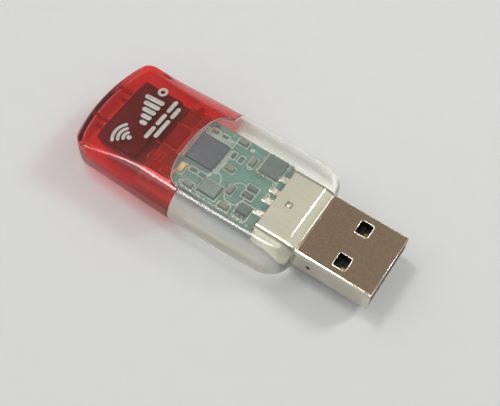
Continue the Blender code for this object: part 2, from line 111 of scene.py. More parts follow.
def housingSize(x, inset):
    # half width, half height and crease half width at x, shrunk by inset: a bowed side, less an
    # elliptical corner at each end, and a top that tapers to the rear and slopes at the front
    f = form
    fromRear = x - (f["rearX"] + inset)
    fromFront = f["faceX"] - inset - x
    fromWidest = (x - (f["faceX"] - f["widestReach"])) / (bodyLength - f["widestReach"])
    side = f["halfWidth"] - f["sideBow"] * fromWidest**2 - inset
    width = side - f["rearCorner"] * (1 - quarterEllipse(fromRear, f["rearCorner"]))
    width -= (side - f["frontHalfWidth"] + inset) * (1 - quarterEllipse(fromFront, f["frontCornerRun"]))
    top = f["halfHeight"] - f["rearTaper"] * smoothStep(1 - fromRear / f["rearTaperRun"]) - inset
    height = top - f["rearEdge"] * (1 - quarterEllipse(fromRear, f["rearEdge"]))
    height -= (top - f["frontHalfHeight"] + inset) * (1 - quarterEllipse(fromFront, f["frontSlopeRun"]))
    flare = 1 - smoothStep(fromRear / f["rearCreaseRun"])
    crease = width * (f["creaseShare"] + (f["rearCreaseShare"] - f["creaseShare"]) * flare)
    return width, height, crease


def sectionColumns(across=34, down=22):
    # one turn round the section: 1 is the crease and 2 the parting line, closer together at the
    # crease, with the sign giving the side; and +1 or -1 for the upper or the lower half
    top = np.sin(np.linspace(math.pi / 2, -math.pi / 2, across + 1))
    side = 1 + (1 - np.cos(np.linspace(0, math.pi / 2, down + 1)))[::-1]
    upper = np.concatenate([side[:-1], top, -side[::-1][1:]])
    column = np.concatenate([upper, upper[::-1][1:-1]])
    half = np.concatenate([np.ones(len(upper)), -np.ones(len(upper) - 2)])
    return column, half


column, upperHalf = sectionColumns()


def riseAt(x, reach, inset):
    # the height over the middle at a distance out from the middle: flat to the crease, and then
    # falling with the cosine of the corner's angle, whose sine grows with the distance
    width, height, crease = housingSize(x, inset)
    start = form["creaseStart"]
    sine = math.sin(start) + (1 - math.sin(start)) * (reach - crease) / np.maximum(width - crease, 1e-6)
    fall = height * np.sqrt(1 - np.clip(sine, 0, 1) ** 2) / math.cos(start)
    return np.maximum(softLower(fall, height, form["creaseSoftness"]), 0)


def sectionPoint(x, inset):
    # y runs straight to the crease and then along the sine of the corner's angle
    width, _, crease = housingSize(x, inset)
    start = form["creaseStart"]
    beyond = np.clip(np.abs(column) - 1, 0, 1)
    angle = start + (math.pi / 2 - start) * beyond
    share = (np.sin(angle) - math.sin(start)) / (1 - math.sin(start))
    reach = np.where(np.abs(column) <= 1, np.abs(column) * crease, crease + (width - crease) * share)
    return np.sign(column) * reach, upperHalf * riseAt(x, reach, inset) * (beyond < 1)


def rearSweep(x, y):
    # how far forward the rear end's arc moves a ring at this distance to the side
    fade = 1 - smoothStep((x - form["rearX"]) / (bodyLength / 4))
    return (form["rearArcRadius"] - np.sqrt(form["rearArcRadius"] ** 2 - y**2)) * fade


def topHeight(x, y, inset=0.0):
    # the height of the housing's top surface over a place in plan
    ring = x - rearSweep(x, y)
    return middleZ + riseAt(ring - rearSweep(ring, y) + rearSweep(x, y), np.abs(y), inset)


def housingRing(x, inset, shrink=1.0):
    # a ring of the housing at x, which may differ from column to column; shrink draws it in towards
    # the middle, for the end faces. The rear end is swept forward at its sides along an arc.
    y, z = sectionPoint(x, inset)
    y, z = y * shrink, z * shrink
    return np.stack([x + rearSweep(x, y), y, z + middleZ], axis=-1)


def bayEdge(inset, gap):
    # the cover's front edge for each column: level at the sides, with a bay shaped as half a squared
    # ellipse. The columns' own y depends on x, so a few rounds settle both.
    x = np.full(len(column), form["hornX"] + gap)
    power = form["baySquareness"]
    for _ in range(6):
        y, _ = sectionPoint(x, inset)
        across = np.clip(np.abs(y) / (form["bayHalfWidth"] - gap), 0, 1)
        x = form["hornX"] + gap - form["bayDepth"] * (1 - across**power) ** (1 / power)
    return x


def closedSurface(points, loop=False):
    # rows of points round a form, each row a closed ring. The ends close on their middle points, or
    # on each other in a loop. The faces are turned outwards by the sign of the volume.
    rows, count, _ = points.shape
    grid = np.arange(rows * count).reshape(rows, count)
    places = points.reshape(-1, 3)
    fans = np.zeros((0, 3), int)
    if loop:
        grid = np.concatenate([grid, grid[:1]])
    beside = np.roll(grid, -1, axis=1)
    quads = np.stack([grid[:-1], beside[:-1], beside[1:], grid[1:]], axis=-1).reshape(-1, 4)
    if not loop:
        first, last = rows * count, rows * count + 1
        startFan = np.stack([np.full(count, first), beside[0], grid[0]], axis=-1)
        endFan = np.stack([np.full(count, last), grid[-1], beside[-1]], axis=-1)
        places = np.concatenate([places, points[0].mean(0)[None], points[-1].mean(0)[None]])
        fans = np.concatenate([startFan, endFan])
    corners = places[np.concatenate([quads[:, [0, 1, 2]], quads[:, [0, 2, 3]], fans])] - places.mean(0)
    if np.linalg.det(corners).sum() < 0:
        quads, fans = quads[:, ::-1], fans[:, ::-1]
    return places, quads, fans


def roundBlock(low, high, radius, bluntness=5.0, around=32):
    # a block with rounded corners: its plan is a squared ellipse, and its edges at the top and the
    # underside draw in along a quarter circle
    low, high = np.array(low), np.array(high)
    middle, half = (low + high) / 2, (high - low) / 2
    turn = np.linspace(0, 2 * math.pi, around, endpoint=False)
    across = np.sign(np.cos(turn)) * np.abs(np.cos(turn)) ** (2 / bluntness)
    along = np.sign(np.sin(turn)) * np.abs(np.sin(turn)) ** (2 / bluntness)
    lift = np.linspace(0, math.pi / 2, 5)
    inset = radius * np.concatenate([1 - np.sin(lift), 1 - np.sin(lift[::-1])])
    rise = radius * (1 - np.cos(lift))
    level = np.concatenate([low[2] + rise, high[2] - rise[::-1]])
    x = middle[0] + across * (half[0] - inset[:, None])
    y = middle[1] + along * (half[1] - inset[:, None])
    return closedSurface(np.stack([x, y, np.broadcast_to(level[:, None], x.shape)], axis=-1))


def flatStroke(path, halfWidth, height, thickness, roundEnds=1.0, loop=False, around=10):
    # a flat band carried along a path in plan. Its section is a squared ellipse, and an open band
    # ends in half ellipses. height(x, y) gives the surface that the band's middle lies on.
    path = np.array(path, float)
    scale = np.ones(len(path))
    if loop:
        ahead = np.roll(path, -1, axis=0) - np.roll(path, 1, axis=0)
    else:
        turn = np.linspace(0.08, math.pi / 2, 6)[:-1]
        out = np.array([path[0] - path[1], path[-1] - path[-2]])
        out *= (halfWidth * roundEnds / np.linalg.norm(out, axis=1))[:, None]
        start = path[0] + out[0] * np.cos(turn)[:, None]
        end = path[-1] + out[1] * np.cos(turn[::-1])[:, None]
        path = np.concatenate([start, path, end])
        scale = np.concatenate([np.sin(turn), scale, np.sin(turn[::-1])])
        ahead = np.gradient(path, axis=0)
    ahead /= np.linalg.norm(ahead, axis=1)[:, None]
    beside = np.stack([-ahead[:, 1], ahead[:, 0]], axis=-1)
    turn = np.linspace(0, 2 * math.pi, around, endpoint=False)
    across = np.sign(np.cos(turn)) * np.sqrt(np.abs(np.cos(turn))) * halfWidth
    lift = np.sign(np.sin(turn)) * np.sqrt(np.abs(np.sin(turn))) * thickness / 2
    plan = path[:, None] + beside[:, None] * (across * scale[:, None])[..., None]
    z = height(plan[..., 0], plan[..., 1]) + lift
    return closedSurface(np.concatenate([plan, z[..., None]], axis=-1), loop)


def arcPath(centre, radius, startDeg, endDeg, steps):
    # points along a circle in plan, by the cosine and the sine of the turn
    turn = np.radians(np.linspace(startDeg, endDeg, steps + 1))
    return np.stack([centre[0] + radius * np.cos(turn), centre[1] + radius * np.sin(turn)], axis=-1)


def ringPath(centre, radius, count):
    # a whole circle as a closed path, whose last side spans 15 degrees
    return arcPath(centre, radius, 0, 345, count - 1)


def boxPath(low, high, corner, steps=4):
    # a rectangle in plan with rounded corners, as a closed path: a quarter circle at each corner
    left, right = low[0] + corner, high[0] - corner
    near, far = low[1] + corner, high[1] - corner
    corners = ((right, far, 0), (left, far, 90), (left, near, 180), (right, near, 270))
    return np.concatenate([arcPath((x, y), corner, start, start + 90, steps) for x, y, start in corners])


def atLevel(z):
    # the height function of a level surface
    return lambda x, y: np.full_like(x, z)


def onBoard(lift):
    # the height function of a surface this far above the board
    return atLevel(boardHigh.z + lift)


def addPiece(name, solids, material, replaces=(), sharpDegrees=40):
    # one object from one or more closed surfaces, each given as (points, quads, triangles)
    mesh = bpy.data.meshes.new(name)
    places, faces, offset = [], [], 0
    for points, quads, triangles in solids:
        places.append(points)
        faces += (quads + offset).tolist() + (triangles + offset).tolist()
        offset += len(points)
    mesh.from_pydata(np.concatenate(places).tolist(), [], faces)
    mesh.shade_smooth()
    mesh.set_sharp_from_angle(angle=math.radians(sharpDegrees))
    mesh.materials.append(material)
    piece = bpy.data.objects.new(name, mesh)
    bpy.context.scene.collection.objects.link(piece)
    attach(piece, "root")
    if replaces:
        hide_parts(*replaces)


def newMaterial(name, look):
    material = bpy.data.materials.new(name)
    material.use_nodes = True
    shader = material.node_tree.nodes["Principled BSDF"]
    for socket, value in look.items():
        shader.inputs[socket].default_value = value
    return material, shader


def addNode(material, kind, values=None, **sources):
    # a node with some sockets set to values and others fed by the outputs of earlier nodes
    made = material.node_tree.nodes.new(kind)
    for socket, value in (values or {}).items():
        made.inputs[socket].default_value = value
    feedSockets(material, made, sources)
    return made


def feedSockets(material, node, sources):
    # each source, a node's output, goes to the socket that it is given for
    for socket, source in sources.items():
        material.node_tree.links.new(source, node.inputs[socket])


def mathNode(material, operation, *values):
    made = material.node_tree.nodes.new("ShaderNodeMath")
    made.operation = operation
    for socket, value in zip(made.inputs, values):
        if isinstance(value, (int, float)):
            socket.default_value = value
        else:
            material.node_tree.links.new(value, socket)
    return made.outputs[0]


def placeAlong(material, axis):
    # the distance along an axis, in millimetres
    place = addNode(material, "ShaderNodeTexCoord").outputs["Object"]
    along = addNode(material, "ShaderNodeSeparateXYZ", Vector=place).outputs[axis]
    return mathNode(material, "MULTIPLY", along, 1 / mm)


def stepUp(material, value, start, end, low=0.0, high=1.0):
    # from low to high as the value goes from start to end, smoothly
    values = {"From Min": start, "From Max": end, "To Min": low, "To Max": high}
    made = addNode(material, "ShaderNodeMapRange", Value=value)
    made.interpolation_type = "SMOOTHSTEP"
    for socket, number in values.items():
        made.inputs[socket].default_value = number
    return made.outputs[0]


def objectNoise(material, scale, detail=4.0, stretch=(1, 1, 1)):
    # noise through the object's own space, of this many waves to the metre
    place = addNode(material, "ShaderNodeTexCoord").outputs["Object"]
    mapped = addNode(material, "ShaderNodeMapping", {"Scale": stretch}, Vector=place)
    values = {"Scale": scale, "Detail": detail, "Roughness": 0.55}
    return addNode(material, "ShaderNodeTexNoise", values, Vector=mapped.outputs[0]).outputs["Fac"]


def spread(material, value, low, high):
    # a noise value taken from its usual span, 0.3 to 0.7, to the span wanted
    values = {"From Min": 0.3, "From Max": 0.7, "To Min": low, "To Max": high}
    return addNode(material, "ShaderNodeMapRange", values, Value=value).outputs[0]


def blendColours(material, value, low, high, fromLow=0.35, fromHigh=0.65):
    # from one colour to the other as the value goes from fromLow to fromHigh
    ramp = addNode(material, "ShaderNodeValToRGB", Fac=value)
    ends = ((fromLow, low), (fromHigh, high))
    for element, (position, colour) in zip(ramp.color_ramp.elements, ends):
        element.position = position
        element.color = (*colour, 1)
    return ramp.outputs[0]


def addBump(material, shader, value, distance, strength):
    bump = addNode(material, "ShaderNodeBump", {"Distance": distance, "Strength": strength}, Height=value)
    feedSockets(material, shader, {"Normal": bump.outputs[0]})


def letLampsThrough(material, shader, tint):
    # lamps reach what lies behind the plastic, dimmed by its tint
    path = addNode(material, "ShaderNodeLightPath").outputs["Is Shadow Ray"]
    clear = addNode(material, "ShaderNodeBsdfTransparent", {"Color": (*tint, 1)})
    mix = addNode(material, "ShaderNodeMixShader", Fac=path)
    output = material.node_tree.nodes["Material Output"]
    feedSockets(material, mix, {1: shader.outputs[0], 2: clear.outputs[0]})
    feedSockets(material, output, {"Surface": mix.outputs[0]})


# where the moulded plastics change, in mm: they scatter more light past milkOut from the middle, and
# their colour turns to a darker painted shade further out at the sides and towards the rear end,
# standing in for the deep band where the wall is seen along its thickness
plasticZones = dict(milkOut=(8.0, 9.4), paintedShadeOut=(9.3, 10.6), paintedShadeRear=(-25.4, -26.4))


def clearPlastic(name, colour, paintedShadeColour, shade, milk, haze, roughness=(0.02, 0.06)):
    # milk is the share of light that the plastic scatters, over the middle and out at the sides, in
    # faint streaks along its flow. The colour turns to a darker painted shade towards the outer sides
    # and the rear end, a fixed stand-in for the deeper band where the wall is seen along its thickness.
    look = {"IOR": 1.5, "Coat Weight": haze, "Coat Roughness": 0.35, "Coat IOR": 1.5}
    material, shader = newMaterial(name, look)
    out = mathNode(material, "ABSOLUTE", placeAlong(material, "Y"))
    share = stepUp(material, out, *plasticZones["milkOut"], 1 - milk[0], 1 - milk[1])
    streaks = spread(material, objectNoise(material, 2400, 3.0, (0.05, 1, 1)), -0.015, 0.015)
    # painted shade: where the colour turns to the darker shade colour, out at the sides and at the rear
    # end
    shadeAtSide = stepUp(material, out, *plasticZones["paintedShadeOut"])
    shadeAtRear = stepUp(material, placeAlong(material, "X"), *plasticZones["paintedShadeRear"])
    edge = mathNode(material, "MAXIMUM", shadeAtSide, shadeAtRear)
    feedSockets(material, shader, {
        "Transmission Weight": mathNode(material, "ADD", share, streaks),
        "Base Color": blendColours(material, edge, colour, paintedShadeColour, 0, 1),
        "Roughness": spread(material, objectNoise(material, 900), *roughness),
    })
    addBump(material, shader, objectNoise(material, 260, 2.0), 0.02 * mm, 0.25)
    letLampsThrough(material, shader, shade)
    return material


def grainyMaterial(name, dark, light, roughness, metallic=0.0, scale=1500):
    # a finish whose colour and surface vary with a fine grain, and whose gloss varies more slowly
    material, shader = newMaterial(name, {"Metallic": metallic})
    grain = objectNoise(material, scale, 5.0)
    feedSockets(material, shader, {
        "Base Color": blendColours(material, grain, dark, light),
        "Roughness": spread(material, objectNoise(material, scale / 3), *roughness),
    })
    addBump(material, shader, grain, 0.01 * mm, 0.5)
    return material


shellFinish = dict(
    paintedCoveredReflection=((0.52, 0.50, 0.38), (0.56, 0.54, 0.42)),  # darkest and lightest grain
    bright=((0.60, 0.55, 0.46), (0.70, 0.65, 0.56)),
    shinyOut=(5.35, 5.5),  # in mm from the middle, the edges that stay shiny inside the housing
    worn=(0.10, 0.18), coveredRoughness=0.55,
)


def shellPlate():
    # polished nickel outside the housing. Where the housing covers it, a pale dull non-metal finish is a
    # painted reflection, standing in for the milky look of the nickel through the clear plastic.
    look = shellFinish
    material, shader = newMaterial("shellPlate", {})
    face = form["faceX"] / mm
    # the shell's pale dull colour under the housing is a painted reflection, the milky look its nickel
    # has through the clear plastic
    outside = stepUp(material, placeAlong(material, "X"), face - 0.05, face)
    grain = objectNoise(material, 4200, 5.0)
    colour = addNode(material, "ShaderNodeMix")
    colour.data_type = "RGBA"
    factorSocket, firstColour, secondColour, mixedColour = 0, 6, 7, 2  # its places in the RGBA form
    feedSockets(material, colour, {
        factorSocket: outside,
        firstColour: blendColours(material, grain, *look["paintedCoveredReflection"]),
        secondColour: blendColours(material, grain, *look["bright"]),
    })
    out = mathNode(material, "ABSOLUTE", placeAlong(material, "Y"))
    shine = mathNode(material, "MAXIMUM", outside, stepUp(material, out, *look["shinyOut"]))
    worn = spread(material, objectNoise(material, 1800), *look["worn"])
    dullness = stepUp(material, shine, 0, 1, look["coveredRoughness"], 0.0)
    feedSockets(material, shader, {
        "Base Color": colour.outputs[mixedColour],
        "Metallic": shine,
        "Roughness": mathNode(material, "MAXIMUM", worn, dullness),
    })
    addBump(material, shader, grain, 0.01 * mm, 0.5)
    return material


def contactPlate():
    # gold on the blades, and solder on the feet
    solder, gold = (0.78, 0.76, 0.70), (0.80, 0.58, 0.24)
    material, shader = newMaterial("contactPlate", {"Metallic": 1.0})
    rear = shellLow.x / mm
    blade = stepUp(material, placeAlong(material, "X"), rear + 0.6, rear + 0.9)
    grain = objectNoise(material, 1500)
    feedSockets(material, shader, {
        "Base Color": blendColours(material, blade, solder, gold, 0, 1),
        "Roughness": spread(material, grain, 0.2, 0.36),
    })
    addBump(material, shader, grain, 0.02 * mm, 0.6)
    return material


# each plastic's second colour is a painted shade, taken on at the outer sides and the rear end
clearMaterial = clearPlastic(
    "clearPlastic", (0.95, 0.95, 0.91), paintedShadeColour=(0.95, 0.89, 0.75), shade=(0.78, 0.78, 0.75),
    milk=(0.10, 0.55), haze=0.30,
)
redMaterial = clearPlastic(
    "redPlastic", (0.88, 0.15, 0.14), paintedShadeColour=(0.50, 0.08, 0.09), shade=(0.82, 0.58, 0.56),
    milk=(0.02, 0.05), haze=0.22,
)
darkRed = clearPlastic(
    "darkRedPlastic", (0.40, 0.03, 0.035), paintedShadeColour=(0.30, 0.02, 0.03), shade=(0.6, 0.2, 0.2),
    milk=(0.4, 0.4), haze=0.2,
)
# painted highlight: the pale opaque finish of the edge beads stands in for the white highlight line along
# the clear plastic's edges
edgeHighlightPlastic = grainyMaterial("edgeHighlightPlastic", (0.66, 0.64, 0.58), (0.76, 0.74, 0.68), (0.10, 0.2))
silverInk = grainyMaterial("silverInk", (0.47, 0.46, 0.42), (0.57, 0.56, 0.52), (0.35, 0.5), 0.35)
# painted highlight: the pale colour of the board's outlines stands in for glints along raised lines
outlineGlint = grainyMaterial("outlineGlint", (0.52, 0.56, 0.48), (0.66, 0.68, 0.60), (0.3, 0.45))
trackGreen = grainyMaterial("trackGreen", (0.07, 0.25, 0.185), (0.10, 0.31, 0.235), (0.25, 0.4))
brightPlate = grainyMaterial("brightPlate", (0.80, 0.77, 0.68), (0.90, 0.88, 0.80), (0.15, 0.28), 1.0)
blackPlastic = grainyMaterial("blackPlastic", (0.010, 0.010, 0.012), (0.022, 0.021, 0.023), (0.35, 0.55))
chipPlastic = grainyMaterial("chipPlastic", (0.018, 0.026, 0.050), (0.034, 0.046, 0.078), (0.4, 0.6))
goldPlate = contactPlate()
tinPlate = grainyMaterial("tinPlate", (0.26, 0.28, 0.25), (0.38, 0.40, 0.37), (0.30, 0.45), 0.8)
smallPlastic = grainyMaterial("smallPlastic", (0.045, 0.085, 0.080), (0.070, 0.115, 0.105), (0.4, 0.6))
dullCan = grainyMaterial("dullCan", (0.11, 0.16, 0.14), (0.17, 0.22, 0.20), (0.45, 0.6), 0.3)
ceramicOlive = grainyMaterial("ceramicOlive", (0.15, 0.16, 0.12), (0.24, 0.23, 0.17), (0.35, 0.5))
ledAmber = grainyMaterial("ledAmber", (0.80, 0.42, 0.08), (0.95, 0.62, 0.20), (0.2, 0.35))
boardGreen = grainyMaterial(
    "boardGreen", (0.038, 0.175, 0.135), (0.062, 0.235, 0.18), (0.3, 0.45), scale=700
)
shellMetal = shellPlate()
print("materials made")

slotFinishes = dict(
    cover=redMaterial, housing=clearMaterial, plug_metal=shellMetal, insulator=blackPlastic,
    contact=goldPlate, board=boardGreen, chip=chipPlastic, tin=tinPlate, ceramic=ceramicOlive,
    led=ledAmber,
)
# the small packages are paler than the big chips, and the crystal's can is dull. Each name is how a
# node's name starts.
ownFinishes = dict(
    memory_chip=smallPlastic, voltage_regulator=smallPlastic, resistor=smallPlastic,
    ferrite=smallPlastic, crystal=dullCan,
)


def dressCadNodes():
    for part in frame["record"]["subparts"]:
        node = part["node"]
        own = [finish for start, finish in ownFinishes.items() if node.startswith(start)]
        materials = frame["nodes"][node].data.materials
        materials.clear()
        materials.append(own[0] if own else slotFinishes[part["material_slot"]])


dressCadNodes()
print("packed pieces dressed")

clearShape = dict(edge=0.12 * mm, rows=26, frontRows=22, gap=0.03 * mm, tongueEdge=0.15 * mm)


def quarterTurn(steps):
    # angles from 0 to a right angle, without the 0, which the ring before them already has
    return np.linspace(0, math.pi / 2, steps)[1:]


def makeClearHousing():
    # one skin of rings from the middle of the tongue's rear face to the middle of the front face
    shape, inside = clearShape, form["wall"] + form["fit"]
    tongueEdge, edge, gap = shape["tongueEdge"], shape["edge"], shape["gap"]
    # the tongue's rear face and its rounded edge, along a quarter circle
    start = np.full(len(column), form["tongueX"])
    rings = [housingRing(start, inside + tongueEdge, t) for t in np.linspace(0.02, 1, 8)]
    for turn in quarterTurn(5):
        x = start + tongueEdge * math.sin(turn)
        rings.append(housingRing(x, inside + tongueEdge * (1 - math.sin(turn))))
    # forward inside the cover to its bay, and up the step there to a rounded lip
    ahead = bayEdge(inside, gap) - start - tongueEdge
    for t in np.linspace(0, 1, shape["rows"])[1:]:
        rings.append(housingRing(start + tongueEdge + ahead * t, inside))
    for inset in np.linspace(inside, edge, 6)[1:]:
        rings.append(housingRing(bayEdge(inset, gap), inset))
    for turn in quarterTurn(6):
        lip = bayEdge(edge * (1 - math.sin(turn)), gap + edge * (1 - math.cos(turn)))
        rings.append(housingRing(lip, edge * (1 - math.sin(turn))))
    # along the outside, round the front corners by the sine of a quarter turn, and over the front face
    start = bayEdge(0.0, gap + edge)
    corner = form["faceX"] - form["frontCornerRun"]
    for t in np.linspace(0, 1, shape["rows"])[1:]:
        rings.append(housingRing(start + (corner - start) * t, 0.0))
    face = np.full(len(column), form["faceX"])
    for turn in quarterTurn(shape["frontRows"]):
        rings.append(housingRing(face - form["frontCornerRun"] * (1 - math.sin(turn)), 0.0))
    rings += [housingRing(face, 0.0, t) for t in np.linspace(1, 0.02, 8)[1:]]
    skin = closedSurface(np.array(rings))
    addPiece("clearHousing", [skin], clearMaterial, ["front_housing"])


makeClearHousing()
print("clear housing made")

coverShape = dict(edge=0.12 * mm, innerEdge=0.1 * mm, cornerRows=14, rows=34)


def coverRows(inset, edgeX):
    # rings from the rear end's middle round its edge and forward to the front edge
    rear = np.full(len(column), form["rearX"] + inset)
    rings = [housingRing(rear, inset, t) for t in np.linspace(0.02, 1, 10)]
    for turn in quarterTurn(coverShape["cornerRows"]):
        rings.append(housingRing(rear + form["rearCorner"] * (1 - math.cos(turn)), inset))
    start = rear + form["rearCorner"]
    for t in np.linspace(0, 1, coverShape["rows"])[1:]:
        rings.append(housingRing(start + (edgeX - start) * t, inset))
    return rings


def makeRedCover():
    # one skin of rings: along the outside to the front edge, over its two rounded corners, and back
    # along the inside to the rear wall
    wall, edge, innerEdge = form["wall"], coverShape["edge"], coverShape["innerEdge"]
    outside = coverRows(0.0, bayEdge(0.0, -edge))
    for turn in quarterTurn(6):
        inset = edge * (1 - math.cos(turn))
        outside.append(housingRing(bayEdge(inset, -edge * (1 - math.sin(turn))), inset))
    for inset in np.linspace(edge, wall - innerEdge, 5)[1:]:
        outside.append(housingRing(bayEdge(inset, 0.0), inset))
    for turn in quarterTurn(5)[:-1]:
        inset = wall - innerEdge * (1 - math.sin(turn))
        outside.append(housingRing(bayEdge(inset, -innerEdge * (1 - math.cos(turn))), inset))
    inside = coverRows(wall, bayEdge(wall, -innerEdge))
    skin = closedSurface(np.array(outside + inside[::-1]))
    addPiece("redCover", [skin], redMaterial, ["rear_cover"])


makeRedCover()
print("red cover made")

ribShape = dict(
    offset=3.2 * mm, thickness=0.5 * mm, reach=3.4 * mm, depth=0.7 * mm, edge=0.1 * mm, squareness=12.0,
)
latchShape = dict(
    back=5.5 * mm,  # from the cover's front edge
    out=6.0 * mm, halfLength=0.5 * mm, halfWidth=0.85 * mm, sunk=0.2 * mm, rise=0.11 * mm, edge=0.06 * mm,
)


def riseOver(x, y, inset):
    # the height of the top surface over the housing's middle at one place
    return float(topHeight(np.array(x), np.array(y), inset)) - middleZ


def makeRibs():
    # two ribs behind the rear wall, above and below
    shape, ribs = ribShape, []
    for side in (1, -1):
        y = side * shape["offset"]
        top = riseOver(form["rearX"] + shape["reach"] / 2, y, form["wall"])
        for way in (1, -1):
            z = sorted((middleZ + way * (top - shape["depth"]), middleZ + way * top))
            low = (form["rearX"] + form["wall"], y - shape["thickness"] / 2, z[0])
            high = (form["rearX"] + shape["reach"], y + shape["thickness"] / 2, z[1])
            ribs.append(roundBlock(low, high, shape["edge"], shape["squareness"]))
    addPiece("coverRibs", ribs, darkRed)


def makeLatches():
    # four snap blocks that stand a little out of the clear tongue, above and below
    shape, blocks = latchShape, []
    x = form["hornX"] - shape["back"]
    for side in (1, -1):
        y = side * shape["out"]
        level = riseOver(x, y, form["wall"] + form["fit"])
        for way in (1, -1):
            z = sorted((middleZ + way * (level - shape["sunk"]), middleZ + way * (level + shape["rise"])))
            low = (x - shape["halfLength"], y - shape["halfWidth"], z[0])
            high = (x + shape["halfLength"], y + shape["halfWidth"], z[1])
            blocks.append(roundBlock(low, high, shape["edge"]))
    addPiece("latchBlocks", blocks, darkRed)


makeRibs()
makeLatches()

beadShape = dict(
    around=10, bayRadius=0.05 * mm, baySunk=0.02 * mm,
    exitBeads=((0.08 * mm, 0.12 * mm), (0.32 * mm, 0.07 * mm)),  # how far outside the plug, and radius
    cornerReach=0.6 * mm,  # how far from a corner the exit beads turn
)


def bayBead():
    # a round bead along the bay's edge: each column of rings is one section of it
    radius = beadShape["bayRadius"]
    turn = np.linspace(0, 2 * math.pi, beadShape["around"], endpoint=False)
    depth = radius * (1 - np.cos(turn)) + beadShape["baySunk"]
    ahead = radius * np.sin(turn)
    rings = [housingRing(bayEdge(d, clearShape["gap"] + radius) + a, d) for d, a in zip(depth, ahead)]
    return closedSurface(np.array(rings).transpose(1, 0, 2), True)


def exitBead(outside, radius):
    # a round bead carried along a rounded rectangle this far outside the plug, in the front face. It
    # leans away from the nearest point of a smaller rectangle inside.
    half, rise = shellHigh.y + outside, (shellHigh.z - shellLow.z) / 2 + outside
    outline = boxPath((-half, -rise), (half, rise), plugCorner + outside, 8)
    reach = beadShape["cornerReach"]
    turn = np.linspace(0, 2 * math.pi, beadShape["around"], endpoint=False)
    out = outline - np.clip(outline, (reach - half, reach - rise), (half - reach, rise - reach))
    out /= np.linalg.norm(out, axis=1)[:, None]
    place = outline[:, None] + out[:, None] * (radius * np.cos(turn))[:, None]
    x = np.broadcast_to(form["faceX"] - radius / 2 + radius * np.sin(turn) / 2, place.shape[:2])
    return closedSurface(np.stack([x, place[..., 0], place[..., 1] + middleZ], axis=-1), True)


def makeEdgeBeads():
    # the clear part's rounded edge along the cover's bay, and the beads round the plug's exit. Their pale
    # opaque finish is a painted highlight, standing in for the white line that these clear edges catch.
    exits = [exitBead(outside, radius) for outside, radius in beadShape["exitBeads"]]
    addPiece("edgeBeads", [bayBead(), *exits], edgeHighlightPlastic)


makeEdgeBeads()

markShape = dict(
    lift=0.012 * mm, thickness=0.03 * mm, baseX=-17.45 * mm,
    dotBack=0.3 * mm, dotRadius=0.4 * mm,
    waves=3, waveY=-4.4 * mm, firstWave=0.95 * mm, waveStep=0.85 * mm, waveWidth=0.28 * mm,
    waveArc=(138, 222),
    bars=5, firstBar=-0.9 * mm, barStep=1.15 * mm, barWidth=0.42 * mm, barStart=0.5 * mm,
    barGrowth=0.6 * mm,
    ringY=5.7 * mm, ringBack=1.3 * mm, ringRadius=0.62 * mm, ringWidth=0.24 * mm,
    dashWidth=0.36 * mm,
    # each row's x, and each of its dashes from y to y, in mm
    dashRows=((-15.65, ((-2.8, -0.9), (0.2, 2.0), (3.1, 5.0))), (-14.45, ((-1.9, 1.3), (2.4, 4.1)))),
)


def makeMark():
    # a plain silver sign: waves over a dot, five rising bars and a ring, with two rows of dashes
    shape, strokes = markShape, []
    base = shape["baseX"]

    def onCover(x, y):
        return topHeight(x, y) + shape["lift"]

    def draw(path, halfWidth, loop=False):
        strokes.append(flatStroke(path, halfWidth, onCover, shape["thickness"], loop=loop, around=12))

    dot = (base - shape["dotBack"], shape["waveY"])
    draw([dot, (dot[0] - 0.05 * mm, dot[1])], shape["dotRadius"])
    for wave in range(shape["waves"]):
        radius = shape["firstWave"] + shape["waveStep"] * wave
        draw(arcPath(dot, radius, *shape["waveArc"], 20), shape["waveWidth"])
    for bar in range(shape["bars"]):
        y = shape["firstBar"] + bar * shape["barStep"]
        top = base - shape["barStart"] - shape["barGrowth"] * bar
        draw(np.linspace((base, y), (top, y), 8), shape["barWidth"])
    ring = ringPath((base - shape["ringBack"], shape["ringY"]), shape["ringRadius"], 24)
    draw(ring, shape["ringWidth"], True)
    for x, dashes in shape["dashRows"]:
        for start, end in dashes:
            draw(np.linspace((x * mm, start * mm), (x * mm, end * mm), 10), shape["dashWidth"])
    addPiece("coverMark", strokes, silverInk)


makeMark()
print("cover details made")

outlineShape = dict(
    line=0.07 * mm, lift=0.01 * mm, thickness=0.03 * mm,
    clearance=0.22 * mm, corner=0.12 * mm,  # the outline round a component
    smallerThan=4.0 * mm,  # only components below this size have an outline
    # pad outlines beside the radio chip: how many, from where along its side, and near and far ends
    padCount=9, padInset=0.3 * mm, padSpan=(0.35 * mm, 1.15 * mm), padHalf=0.17 * mm, padCorner=0.05 * mm,
    frontPadSpan=(0.3 * mm, 0.9 * mm), frontPadHalf=0.15 * mm,
    viaRadius=0.28 * mm, frameCorner=0.1 * mm,
    # in mm: round outlines, and drop-shaped outlines as ((x, y), size)
    vias=(
        (-1.0, 5.3), (0.3, 2.3), (5.2, 1.9), (5.4, -0.2),
        (-3.6, -5.9), (1.4, -5.0), (-7.0, -5.6), (5.5, 5.6),
    ),
    drops=(((-3.1, -3.4), 2.2), ((1.2, -3.1), 2.5)),
)


def dropPath(x, y, size):
    # a circle pinched towards its top by the eighth power of the half turn's cosine
    turn = np.linspace(0, 2 * math.pi, 48, endpoint=False)
    pinch = size * (1 - 0.42 * np.cos(turn / 2) ** 8)
    return np.stack([x + 0.62 * pinch * np.sin(turn), y - pinch * np.cos(turn)], axis=-1) * mm


